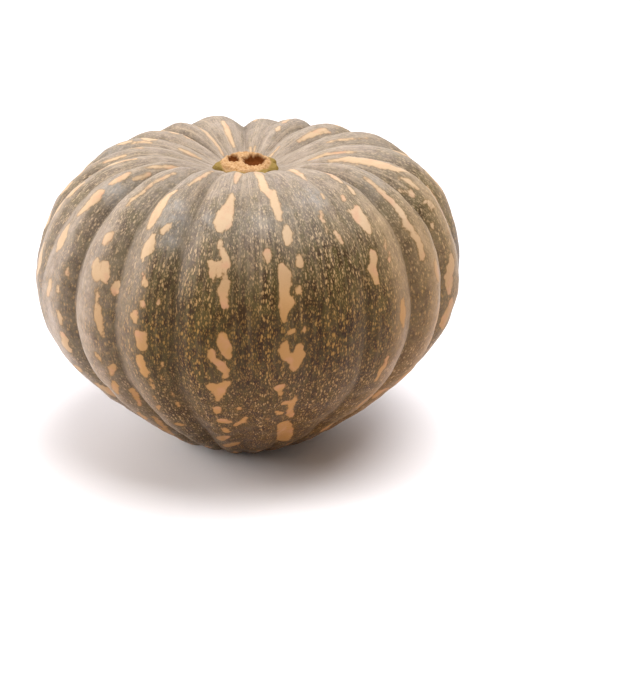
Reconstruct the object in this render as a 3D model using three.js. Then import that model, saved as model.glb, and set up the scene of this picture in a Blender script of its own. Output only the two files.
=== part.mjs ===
// Whole ribbed pumpkin, as picked, with the stump of its broken stem.
// Millimetres, +Z up. The side that is seen first faces -Y. The origin is on the
// surface that the pumpkin stands on, under the middle of its bounding box.
import * as THREE from 'three';

// Driving dimensions

// Outline over the rib crests, from the stem seat to the blossom end: distance from
// the stem's axis, height above the ground. The widest place is 131 mm from the axis.
const CREST_OUTLINE = [
  [0, 174], [11, 174], [21, 174], [30, 177.5], [39, 181], [50, 184.2],
  [62, 185.7], [76, 184.8], [91, 179.8], [105, 170.5], [116.5, 157.5], [124.5, 142],
  [129.5, 126], [131, 110], [128.5, 93], [122, 76], [111.2, 60.5], [98, 46],
  [82.5, 32], [66.5, 19], [51.5, 8.5], [39, 2], [29, -1], [19, -1], [10, 1.5], [0, 3],
];
const GROUND = 0;

// Grooves between the ribs, one after the other around the stem: angle in degrees from
// the front toward +X, depth, and how much the rib that follows swells past the outline.
const GROOVES = [
  { angle: -84, depth: 4, swell: 0 },
  { angle: -68, depth: 3, swell: 0, reach: 150 },
  { angle: -53.4, depth: 9, swell: 0 },
  { angle: -36, depth: 6.5, swell: 0 },
  { angle: -18.8, depth: 6, swell: 0 },
  { angle: -1.5, depth: 2.5, swell: 0 },
  { angle: 16, depth: 2.5, swell: 0 },
  { angle: 33, depth: 3, swell: 0 },
  { angle: 51.9, depth: 7.5, swell: 0 },
  { angle: 68.2, depth: 8.5, swell: 0 },
  { angle: 86, depth: 6, swell: 0 },
  { angle: 106, depth: 5, swell: 1 },
  { angle: 131, depth: 8, swell: 0 },
  { angle: 152, depth: 6, swell: 0.2 },
  { angle: 165, depth: 2.5, swell: -0.5 },
  { angle: 181, depth: 6, swell: 2.3 },
  { angle: 207, depth: 3, swell: 1 },
  { angle: 221, depth: 7, swell: 0 },
  { angle: 239, depth: 5, swell: 0 },
  { angle: 258, depth: 5, swell: 0 },
];
const FULL_REACH = 1000;
const REACH_FADE = 50;

// Share of its full depth that a groove has, by distance along the outline from the stem.
const GROOVE_SHARE = [
  [0, 0], [21, 0], [42, 0.55], [75, 1], [280, 0.9], [320, 0.55], [350, 0.25], [366, 0],
];

// In front the ribs stand higher round the stem, by this much straight in front, and by
// these shares of it along the outline.
const FRONT_RISE = 3.2;
const RISE_SHARE = [[0, 0], [20, 0], [32, 0.9], [42, 1], [55, 0.8], [80, 0.25], [100, 0]];

// The fruit grew a little uneven, in shares of the radius: its shoulder leans to the
// right and to the front, its belly sits to the right and the back, and it is slightly
// oval across a diagonal.
const SHOULDER = { right: 0.042, front: 0.022 };
const BELLY = { right: 0.015, back: 0.014 };
const OVAL = 0.02;
const WIDEST_HEIGHT = 115;

// The stem's axis, from the middle of the bounding box.
const STEM_AXIS = { x: -2.1, y: -2.3 };

const COLUMNS_PER_RIB = 6;

// Stump of the stem: outline from the middle of its foot round to the bottom of the pit
// in its broken top, with the share of its radius by which the lobes stand out. The break
// is 3 mm lower at the front than at the back.
const SEAT_GAP = 0.3;
const STUMP_OUTLINE = [
  { radius: 0, height: 0, lobe: 0 },
  { radius: 10, height: 0, lobe: 0 },
  { radius: 16, height: 0, lobe: 0.2 },
  { radius: 16.2, height: 1.6, lobe: 0.2 },
  { radius: 15.7, height: 3.2, lobe: 0.17 },
  { radius: 15.2, height: 4.6, lobe: 0.12 },
  { radius: 14.8, height: 5.6, lobe: 0.05 },
  { radius: 13.6, height: 6.2, lobe: 0.02 },
  { radius: 11, height: 5, lobe: 0.02 },
  { radius: 7, height: 3, lobe: 0 },
  { radius: 0, height: 2.6, lobe: 0 },
];
const BREAK_FALL = 3;
const FALL_HALF_WIDTH = 12;
const FALL_FULL_HEIGHT = 5;
const STUMP_COLUMNS = 40;

// Where the lobes of the foot are, in degrees from the right toward the back, and how
// wide one is.
const STUMP_LOBES = [-10, 22, 95, 183, 250, 305];
const LOBE_WIDTH = 17;

function radians(degrees) {
  return THREE.MathUtils.degToRad(degrees);
}

// Straight lines between the points of a [place, value] table.
function readTable(table, place) {
  const next = table.findIndex(([start]) => start > place);
  if (next === -1) {
    return table[table.length - 1][1];
  }
  const [start, from] = table[next - 1];
  const [end, to] = table[next];
  return from + (to - from) * (place - start) / (end - start);
}

// One closed surface from rings of points. The first and the last ring are single
// points. Rings run anticlockwise seen from the first one.
function closedRings(rings) {
  const positions = rings.flat().flatMap((point) => [point.x, point.y, point.z]);
  const size = rings[1].length;
  const last = rings.length - 1;
  const indices = [];
  const at = (ring, column) => 1 + (ring - 1) * size + (column % size);
  const lastPole = 1 + (last - 1) * size;
  for (let column = 0; column < size; column += 1) {
    indices.push(0, at(1, column), at(1, column + 1));
    for (let ring = 1; ring < last - 1; ring += 1) {
      indices.push(at(ring, column), at(ring + 1, column), at(ring + 1, column + 1));
      indices.push(at(ring, column), at(ring + 1, column + 1), at(ring, column + 1));
    }
    indices.push(at(last - 1, column), lastPole, at(last - 1, column + 1));
  }
  const geometry = new THREE.BufferGeometry();
  geometry.setAttribute('position', new THREE.Float32BufferAttribute(positions, 3));
  geometry.setIndex(indices);
  geometry.computeVertexNormals();
  return geometry;
}

// The stations of the outline, each with its distance along it and its outward direction.
function outlineStations() {
  const points = CREST_OUTLINE.map(([radius, height]) => new THREE.Vector2(radius, height));
  let along = 0;
  return points.map((point, i) => {
    const before = points[Math.max(i - 1, 0)];
    const after = points[Math.min(i + 1, points.length - 1)];
    const run = after.clone().sub(before).normalize();
    along += point.distanceTo(before);
    return { radius: point.x, height: point.y, along, out: new THREE.Vector2(-run.y, run.x) };
  });
}

// The columns of the surface, a few for each rib. A column knows the groove on its side
// of the rib and how near it is: 1 in the groove, 0 on the crest.
function ribColumns() {
  return GROOVES.flatMap((groove, i) => {
    const wrap = i === GROOVES.length - 1;
    const next = GROOVES[(i + 1) % GROOVES.length];
    const end = next.angle + (wrap ? 360 : 0);
    return Array.from({ length: COLUMNS_PER_RIB }, (_, k) => {
      const across = k / COLUMNS_PER_RIB;
      return {
        angle: radians(groove.angle + (end - groove.angle) * across),
        nearness: Math.abs(2 * across - 1),
        groove: across < 0.5 ? groove : next,
        swell: groove.swell,
      };
    });
  });
}

// How far the skin lies under the outline. A rib is round across, and two ribs meet in
// a crease.
function insetAt(station, column) {
  const reach = column.groove.reach ?? FULL_REACH;
  const reached = THREE.MathUtils.clamp((reach - station.along) / REACH_FADE + 0.5, 0, 1);
  const round = column.nearness ** 2;
  const cut = column.groove.depth * reached * round;
  return readTable(GROOVE_SHARE, station.along) * (cut - column.swell * (1 - round));
}

// Share by which the fruit is wider than round at a height and an angle.
function unevenness(station, angle) {
  const rise = Math.max(station.height - WIDEST_HEIGHT, 0);
  const up = rise / Math.max(Math.hypot(station.radius, rise), 1);
  const right = Math.sin(angle);
  const front = Math.cos(angle);
  const shoulder = up * (SHOULDER.right * right + SHOULDER.front * front);
  return 1 + shoulder + BELLY.right * right - BELLY.back * front - OVAL * Math.sin(2 * angle);
}

function fruitPoint(station, column) {
  const inset = insetAt(station, column);
  const radius = (station.radius - inset * station.out.x) * unevenness(station, column.angle);
  const rise = FRONT_RISE * readTable(RISE_SHARE, station.along) * Math.max(Math.cos(column.angle), 0);
  const height = station.height + rise - inset * station.out.y;
  return new THREE.Vector3(
    STEM_AXIS.x + radius * Math.sin(column.angle),
    STEM_AXIS.y - radius * Math.cos(column.angle),
    Math.max(height, GROUND),
  );
}

// The fruit grew as one piece. Where it stands, the crests of the ribs are pressed flat.
function fruit() {
  const stations = outlineStations();
  const columns = ribColumns();
  const rings = stations.map((station) => {
    const isPole = station.radius === 0;
    return isPole
      ? [new THREE.Vector3(STEM_AXIS.x, STEM_AXIS.y, station.height)]
      : columns.map((column) => fruitPoint(station, column));
  });
  const rind = new THREE.MeshStandardMaterial({ color: 0x84735c, roughness: 0.5, metalness: 0 });
  const mesh = new THREE.Mesh(closedRings(rings), rind);
  mesh.name = 'fruit';
  return mesh;
}

// How far the lobes stand out at an angle in degrees: 1 at the middle of a lobe.
function lobesAt(angle) {
  const shares = STUMP_LOBES.map((middle) => {
    const away = THREE.MathUtils.euclideanModulo(angle - middle + 180, 360) - 180;
    return Math.exp(-((away / LOBE_WIDTH) ** 2));
  });
  return Math.max(...shares);
}

// A point of the stump, by its angle in degrees from the right toward the back.
function stumpPoint({ radius, height, lobe }, turn) {
  const reach = radius * (1 + lobe * lobesAt(turn));
  const right = reach * Math.cos(radians(turn));
  const back = reach * Math.sin(radians(turn));
  const toFront = THREE.MathUtils.clamp(0.5 - back / (2 * FALL_HALF_WIDTH), 0, 1);
  const upThere = THREE.MathUtils.clamp(height / FALL_FULL_HEIGHT, 0, 1);
  return new THREE.Vector3(right, back, height - BREAK_FALL * toFront * upThere);
}

// The stump stands on the flat seat at the top of the fruit.
function stemStump() {
  const foot = CREST_OUTLINE[0][1] + SEAT_GAP;
  const turns = Array.from({ length: STUMP_COLUMNS }, (_, k) => (k / STUMP_COLUMNS) * 360);
  const rings = STUMP_OUTLINE.map((station) => {
    const isPole = station.radius === 0;
    return isPole ? [stumpPoint(station, 0)] : turns.map((turn) => stumpPoint(station, turn));
  });
  // The outline starts at the foot, so the rings run the other way round.
  const turned = rings.map((ring) => ring.slice().reverse());
  const cork = new THREE.MeshStandardMaterial({ color: 0xb39a75, roughness: 0.9, metalness: 0 });
  const mesh = new THREE.Mesh(closedRings(turned), cork);
  mesh.name = 'stem_stump';
  mesh.position.set(STEM_AXIS.x, STEM_AXIS.y, foot);
  return mesh;
}

const pumpkin = new THREE.Group();
pumpkin.add(fruit(), stemStump());

export default pumpkin;
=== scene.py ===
# %% [markdown]
# # A ribbed grey pumpkin with the stump of its stem
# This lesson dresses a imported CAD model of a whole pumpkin. The real one is about 26 cm
# across, with twenty ribs, a thin waxy skin in grey green, and peach marks that run down
# the ribs. The CAD model settles its size, its ribs and its stump. Here the same form is
# made again much finer, and gets its skin.

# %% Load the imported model
import math
import random

import bpy
import numpy as np
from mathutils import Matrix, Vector, noise
from mathutils.kdtree import KDTree


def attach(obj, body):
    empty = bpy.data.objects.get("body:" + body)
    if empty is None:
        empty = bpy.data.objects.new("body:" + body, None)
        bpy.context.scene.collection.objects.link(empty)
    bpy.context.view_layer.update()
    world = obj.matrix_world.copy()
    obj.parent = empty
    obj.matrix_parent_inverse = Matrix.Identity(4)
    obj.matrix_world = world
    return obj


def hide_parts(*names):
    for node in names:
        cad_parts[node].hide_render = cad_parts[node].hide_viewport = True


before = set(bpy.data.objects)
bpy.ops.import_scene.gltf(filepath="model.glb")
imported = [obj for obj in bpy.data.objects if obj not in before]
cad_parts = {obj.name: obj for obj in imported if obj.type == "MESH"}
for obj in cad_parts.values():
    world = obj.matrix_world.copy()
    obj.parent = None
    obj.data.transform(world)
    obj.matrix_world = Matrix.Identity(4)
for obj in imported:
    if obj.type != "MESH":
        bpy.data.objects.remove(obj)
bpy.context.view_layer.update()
MM = 0.001

# %% [markdown]
# ## Camera
# The photograph was taken with a longish lens from a little above, about 20 degrees over
# the table, so the top of the fruit and the stump in its hollow both show. The lens is
# shifted, because the fruit stands left of the middle of the picture. The camera aims at
# the middle of the fruit, on the axis of its stem.

# %% Camera
STEM_X = -2.1 * MM
STEM_Y = -2.3 * MM
AIM_HEIGHT = 115 * MM
CAMERA_ELEVATION = math.radians(19.85)
CAMERA_DISTANCE = 1.17
LENS_MM = 98.8
FRAMING_SHIFT = (0.1074, -0.1237)

back_off = CAMERA_DISTANCE * math.cos(CAMERA_ELEVATION)
rise = CAMERA_DISTANCE * math.sin(CAMERA_ELEVATION)
bpy.ops.object.camera_add(
    location=(STEM_X, STEM_Y - back_off, AIM_HEIGHT + rise),
    rotation=(math.pi / 2 - CAMERA_ELEVATION, 0, 0),
)
camera = bpy.context.object
camera.name = "camera"
camera.data.lens = LENS_MM
camera.data.shift_x = FRAMING_SHIFT[0]
camera.data.shift_y = FRAMING_SHIFT[1]
camera.data.clip_start = 0.01
bpy.context.scene.camera = camera
print("camera at", [round(value, 3) for value in camera.location])

# %% [markdown]
# ## Nodes and colours
# Every finish below is a node tree. One small function adds a node, sets it and links it,
# and gives back its output. Colours are written as they are picked on a screen, and one
# function turns them into the linear values that the shader needs.

# %% Helpers for materials
def linear(hex_colour):
    """An sRGB hex colour such as "#c08040" as a linear RGBA tuple."""
    channels = [int(hex_colour[place:place + 2], 16) / 255 for place in (1, 3, 5)]
    return tuple(c / 12.92 if c <= 0.04045 else ((c + 0.055) / 1.055) ** 2.4 for c in channels) + (1.0,)


def add_node(tree, kind, inputs=None, out=None, **settings):
    """Adds a node, sets its properties and its inputs, and returns one of its outputs.

    The kind is the type's name after ShaderNode. An input is a value, a hex colour or an
    output of another node. Sockets go by their identifiers.
    """
    node = tree.nodes.new("ShaderNode" + kind)
    for name, value in settings.items():
        setattr(node, name, value)
    sockets = {socket.identifier: socket for socket in node.inputs}
    for name, value in (inputs or {}).items():
        if isinstance(value, bpy.types.NodeSocket):
            tree.links.new(value, sockets[name])
        else:
            sockets[name].default_value = linear(value) if isinstance(value, str) else value
    usable = {socket.identifier: socket for socket in node.outputs if socket.enabled}
    if out:
        return usable[out]
    return next(iter(usable.values()), None)


def new_material(name):
    """An empty material and its node tree."""
    material = bpy.data.materials.new(name)
    material.use_nodes = True
    material.node_tree.nodes.clear()
    return material, material.node_tree


# %% [markdown]
# ## Floor and light
# The fruit stands on white paper in a bright room: the paper washes out to plain white,
# and only a soft shadow is left close round the fruit. The room is a little warm and the
# paper a little cool, so the shadow stays grey. A big soft box hangs over the fruit, so the
# shoulders shine and the front stays darker toward the table. A wide box behind draws a
# pale rim along the top, and a small low one brightens the left flank.

# %% Floor
FLOOR_SIZE = 16.0
PAPER_WHITE = "#f3f4fb"

bpy.ops.mesh.primitive_plane_add(size=FLOOR_SIZE)
floor = bpy.context.object
floor.name = "floor"
paper, tree = new_material("white_paper_matt")
shader = add_node(tree, "BsdfPrincipled", {
    "Base Color": PAPER_WHITE,
    "Roughness": 0.9,
    "Specular IOR Level": 0.1,
})
add_node(tree, "OutputMaterial", {"Surface": shader})
floor.data.materials.append(paper)

# %% Lights
WORLD_STRENGTH = 0.35
WORLD_COLOUR = "#ffeddc"

SOFT_BOXES = (
    {"name": "box_above", "place": (0.3, -0.15, 1.65), "size": (1.4, 1.4), "watts": 41, "tint": "#fffcf8"},
    {"name": "box_behind", "place": (0.1, 2.0, 1.5), "size": (3.2, 1.6), "watts": 31, "tint": "#fbfaff"},
    {"name": "box_left", "place": (-1.5, -0.05, 0.65), "size": (0.8, 1.0), "watts": 24.5, "tint": "#fbf7f2"},
)

for soft_box in SOFT_BOXES:
    place = Vector(soft_box["place"])
    aim = Vector((STEM_X, STEM_Y, AIM_HEIGHT)) - place
    bpy.ops.object.light_add(type="AREA", location=place, rotation=aim.to_track_quat("-Z", "Y").to_euler())
    lamp = bpy.context.object
    lamp.name = soft_box["name"]
    lamp.data.shape = "RECTANGLE"
    lamp.data.size, lamp.data.size_y = soft_box["size"]
    lamp.data.energy = soft_box["watts"]
    lamp.data.color = linear(soft_box["tint"])[:3]

world = bpy.data.worlds.new("white_room")
world.use_nodes = True
background = world.node_tree.nodes["Background"]
background.inputs["Strength"].default_value = WORLD_STRENGTH
background.inputs["Color"].default_value = linear(WORLD_COLOUR)
bpy.context.scene.world = world
bpy.context.scene.view_settings.view_transform = "Standard"
print("lamps", len(SOFT_BOXES))

# %% [markdown]
# ## The body of the fruit
# A pumpkin grows as one swollen body round its stem, and its ribs are the places between
# the bundles that fed it. A round body comes from spinning an outline, so the outline over
# the crests is drawn as a smooth curve from the stem to the blossom end, turned into
# edges, and spun once round. It gets 22 columns of points for each of the 20 ribs: enough
# for round ribs, and for the edges of the marks, which are kept at the points.

# %% Outline over the crests
# Distance from the stem's axis and height above the table, in mm.
CREST_OUTLINE = (
    (0, 174), (11, 174), (21, 174), (30, 177.5), (39, 181), (50, 184.2),
    (62, 185.7), (76, 184.8), (91, 179.8), (105, 170.5), (116.5, 157.5), (124.5, 142),
    (129.5, 126), (131, 110), (128.5, 93), (122, 76), (111.2, 60.5), (98, 46),
    (82.5, 32), (66.5, 19), (51.5, 8.5), (39, 2), (29, -1), (19, -1), (10, 1.5), (0, 3),
)
STEPS_BETWEEN = 9
RIB_COUNT = 20
COLUMNS_PER_RIB = 22
COLUMNS = RIB_COUNT * COLUMNS_PER_RIB


def draw_outline(name, outline, steps):
    """A smooth curve through (radius, height) points in mm, turned into a strip of edges."""
    bpy.ops.object.select_all(action="DESELECT")
    bpy.ops.curve.primitive_bezier_curve_add(location=(0, 0, 0))
    drawn = bpy.context.object
    drawn.name = name
    drawn.data.resolution_u = steps
    points = drawn.data.splines[0].bezier_points
    points.add(len(outline) - len(points))
    for point, (radius, height) in zip(points, outline):
        point.co = (radius * MM, 0, height * MM)
        point.handle_left_type = "AUTO"
        point.handle_right_type = "AUTO"
    bpy.ops.object.convert(target="MESH")
    return bpy.context.object


def mesh_points(piece):
    """The places of a mesh's points, as rows of x, y, z in metres."""
    places = np.empty(len(piece.data.vertices) * 3)
    piece.data.vertices.foreach_get("co", places)
    return places.reshape(-1, 3)


def place_points(piece, places):
    """Moves a mesh's points."""
    piece.data.vertices.foreach_set("co", places.ravel())
    piece.data.update()


fruit = draw_outline("fruit_skin", CREST_OUTLINE, STEPS_BETWEEN)
strip = mesh_points(fruit)
strip_run = np.hypot(*np.diff(strip[:, (0, 2)], axis=0).T)
strip_along = np.concatenate([[0], np.cumsum(strip_run)]) / MM
print("outline points", len(strip), "length in mm", round(strip_along[-1], 1))

# %% [markdown]
# The direction in which each point of the outline looks outward is kept, because the
# grooves sink along it.

# %% Outward direction along the outline
strip_slope = np.gradient(strip[:, (0, 2)], axis=0)
strip_slope /= np.linalg.norm(strip_slope, axis=1)[:, None]
strip_out = np.stack([-strip_slope[:, 1], strip_slope[:, 0]], axis=1)

# %% Spin the outline
def spin_outline(piece, steps):
    """Spins a strip of edges once round the z axis into a closed body with normals outward."""
    bpy.ops.object.mode_set(mode="EDIT")
    bpy.ops.mesh.select_all(action="SELECT")
    bpy.ops.mesh.spin(steps=steps, angle=2 * math.pi, center=(0, 0, 0), axis=(0, 0, 1))
    bpy.ops.mesh.select_all(action="SELECT")
    bpy.ops.mesh.remove_doubles(threshold=0.001 * MM)
    bpy.ops.mesh.normals_make_consistent(inside=False)
    bpy.ops.object.mode_set(mode="OBJECT")


spin_outline(fruit, COLUMNS)
print("fruit points", len(fruit.data.vertices), "faces", len(fruit.data.polygons))

# %% [markdown]
# ## Ribs
# No two grooves of a pumpkin are alike: some cut deep, some only crease the skin, and
# they aren't evenly spaced. No modifier knows such ribs, so every point is moved by a
# short rule. Its column tells between which two grooves it lies, and it sinks along the
# outline's outward direction, least on the crest and most in the groove. The same rule
# and the same numbers shape the CAD model, so the two bodies lie on each other.

# %% Grooves
# Angle from the front toward the right, depth in mm, and how far the rib that follows
# swells past the outline, in mm.
GROOVES = (
    (-84, 4, 0), (-68, 3, 0), (-53.4, 9, 0), (-36, 6.5, 0), (-18.8, 6, 0),
    (-1.5, 2.5, 0), (16, 2.5, 0), (33, 3, 0), (51.9, 7.5, 0), (68.2, 8.5, 0),
    (86, 6, 0), (106, 5, 1), (131, 8, 0), (152, 6, 0.2), (165, 2.5, -0.5),
    (181, 6, 2.3), (207, 3, 1), (221, 7, 0), (239, 5, 0), (258, 5, 0),
)
# The shallow groove on the left ends half way down.
SHORT_GROOVE = 1
SHORT_REACH_MM = 150
REACH_FADE_MM = 50
# Share of its depth that a groove has, by distance from the stem along the outline in mm.
GROOVE_SHARE = ((0, 0), (21, 0), (42, 0.55), (75, 1), (280, 0.9), (320, 0.55), (350, 0.25), (366, 0))
CREASE_SOFTNESS = 0.05
# In front the ribs stand higher round the stem, by these shares of the rise in mm.
FRONT_RISE = 3.2
RISE_SHARE = ((0, 0), (20, 0), (32, 0.9), (42, 1), (55, 0.8), (80, 0.25), (100, 0))

# %% Which groove and which part of the outline a point belongs to
def read_table(table, place):
    """Straight lines between the (place, value) pairs of a table."""
    return np.interp(place, *np.array(table, float).T)


def nearest_strip_point(places):
    """For each point, the number of the outline point that it was spun from."""
    tree_of_strip = KDTree(len(strip))
    for number, (radius, _, height) in enumerate(strip):
        tree_of_strip.insert((radius, height, 0), number)
    tree_of_strip.balance()
    radii = np.hypot(places[:, 0], places[:, 1])
    return np.array([tree_of_strip.find((r, z, 0))[1] for r, z in zip(radii, places[:, 2])])


places = mesh_points(fruit)
station = nearest_strip_point(places)
along = strip_along[station]
turn = np.arctan2(places[:, 1], places[:, 0])
column = np.rint(turn / (2 * math.pi) * COLUMNS).astype(int) % COLUMNS
rib = column // COLUMNS_PER_RIB
across = (column % COLUMNS_PER_RIB) / COLUMNS_PER_RIB

# %% Press the ribs in
SHOULDER_RIGHT, SHOULDER_FRONT = 0.042, 0.022
BELLY_RIGHT, BELLY_BACK = 0.015, 0.014
OVAL = 0.02
WIDEST_HEIGHT = 115

groove_angle, groove_depth, groove_swell = np.array(GROOVES, float).T
next_rib = (rib + 1) % RIB_COUNT
rib_width = (groove_angle[next_rib] - groove_angle[rib]) % 360
angle = groove_angle[rib] + rib_width * across
right, front = np.sin(np.radians(angle)), np.cos(np.radians(angle))

own_groove = np.where(across < 0.5, rib, next_rib)
nearness = np.abs(2 * across - 1)
soft_nearness = 1 + CREASE_SOFTNESS - np.hypot(1 - nearness, CREASE_SOFTNESS)
reach = np.where(own_groove == SHORT_GROOVE, SHORT_REACH_MM, np.inf)
reached = np.clip((reach - along) / REACH_FADE_MM + 0.5, 0, 1)
groove_share = read_table(GROOVE_SHARE, along)
cut = groove_depth[own_groove] * reached * soft_nearness ** 2
inset = groove_share * (cut - groove_swell[rib] * (1 - nearness ** 2))

radius = strip[station, 0] / MM
height = strip[station, 2] / MM
lift = np.maximum(height - WIDEST_HEIGHT, 0)
up = lift / np.maximum(np.hypot(radius, lift), 1)
uneven = (
    1 + up * (SHOULDER_RIGHT * right + SHOULDER_FRONT * front)
    + BELLY_RIGHT * right - BELLY_BACK * front - OVAL * np.sin(np.radians(2 * angle))
)
out_radius = (radius - inset * strip_out[station, 0]) * uneven
rise_here = FRONT_RISE * read_table(RISE_SHARE, along) * np.maximum(front, 0)
out_height = height + rise_here - inset * strip_out[station, 1]
place_points(fruit, np.stack([
    STEM_X + out_radius * right * MM,
    STEM_Y - out_radius * front * MM,
    np.maximum(out_height, 0) * MM,
], axis=1))
print("ribbed box in mm", mesh_points(fruit).min(axis=0) / MM, mesh_points(fruit).max(axis=0) / MM)

# %% [markdown]
# ## Lumps
# A real skin is never as smooth as the rule that shaped it. Broad dents as wide as a
# thumb and small uneven places a few millimetres wide catch the light on the ribs. Two
# Displace modifiers with cloud textures give them. The ribs that stand on the table are
# then pressed flat again.

# %% Lumps on the ribs
LUMPS = (
    {"name": "broad_dents", "width_mm": 34, "strength_mm": 2.4},
    {"name": "small_dents", "width_mm": 11, "strength_mm": 0.9},
)


def add_lumps(piece, lumps):
    """Applies Displace modifiers with cloud textures, one for each width of lump."""
    bpy.context.view_layer.objects.active = piece
    for lump in lumps:
        clouds = bpy.data.textures.new(lump["name"], type="CLOUDS")
        clouds.noise_scale = lump["width_mm"] * MM
        clouds.noise_depth = 1
        lumpy = piece.modifiers.new(lump["name"], type="DISPLACE")
        lumpy.texture = clouds
        lumpy.texture_coords = "LOCAL"
        lumpy.mid_level = 0.5
        lumpy.strength = lump["strength_mm"] * MM
        bpy.ops.object.modifier_apply(modifier=lumpy.name)


add_lumps(fruit, LUMPS)
places = mesh_points(fruit)
places[:, 2] = np.maximum(places[:, 2], 0)
place_points(fruit, places)
bpy.ops.object.select_all(action="DESELECT")
fruit.select_set(True)
bpy.ops.object.shade_smooth()
print("lumpy box in mm", places.min(axis=0) / MM, places.max(axis=0) / MM)

# %% [markdown]
# ## Marks
# On each rib a row of peach marks runs from the stem to the blossom end: thin streaks
# near the stem, then larger blots and hooks on the side. A mark is written as a chain of
# beads, and each bead has its angle from the front, its distance from the stem along the
# skin, and its width, the last two in mm. Where the photograph shows the marks, they were
# read off it by eye, and a measuring script turned the readings into these places on the
# skin. A point of the skin then keeps how deep it lies inside the nearest mark, in
# millimetres, and the shader draws a ragged edge where that depth passes zero.

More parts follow.
